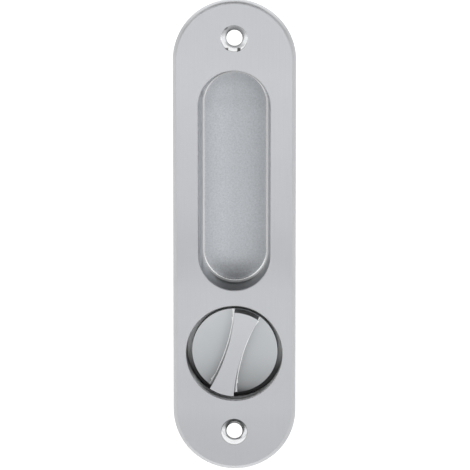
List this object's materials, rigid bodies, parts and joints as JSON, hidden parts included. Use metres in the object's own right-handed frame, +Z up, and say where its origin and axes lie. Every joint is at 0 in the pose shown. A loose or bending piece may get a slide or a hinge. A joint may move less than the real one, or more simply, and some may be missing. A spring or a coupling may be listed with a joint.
{
  "type": "flush pull plate with thumb turn for a sliding door lock",
  "caption": "Obround flush pull plate with a finger well and a round well that holds a thumb turn with a waisted grip bar, on a square spindle, for a sliding door lock.",
  "frame": {"origin": "on the plate's back face, midway between the two fixing holes", "axes": "+Z up the plate, -Y out of its face towards the user, +Y into the door, +X to the right seen from the front"},
  "size_m": [0.04, 0.0544, 0.1554],
  "materials": {
    "satin_plate": "satin nickel, brushed along its length, with bright countersinks",
    "grained_dish": "fine matte grain",
    "satin_turn": "satin nickel",
    "raw_casting": "plain die casting",
    "bright_steel": "bright zinc plate",
    "spindle_steel": "drawn bar, zinc plated",
    "spring_steel": "dark phosphated spring steel",
    "bearing_plastic": "natural acetal"
  },
  "bodies": {
    "plate": {"face_plate": "satin_plate", "pull_dish": "grained_dish", "dish_screws": "bright_steel", "turn_carrier": "raw_casting", "carrier_screws": "bright_steel", "turn_bush": "bearing_plastic"},
    "turn": {"turn_knob": "satin_turn", "spindle": "spindle_steel", "spindle_pin": "spring_steel", "friction_washer": "bearing_plastic", "spring_washer": "spring_steel", "backing_washer": "bright_steel", "retaining_ring": "spring_steel"}
  },
  "joints": [
    {"name": "thumb_turn", "type": "hinge", "parent": "plate", "child": "turn", "pos_m": [0, 0, -0.0388], "axis": [0, -1, 0], "range_deg": [-72.5, 17.5]}
  ]
}
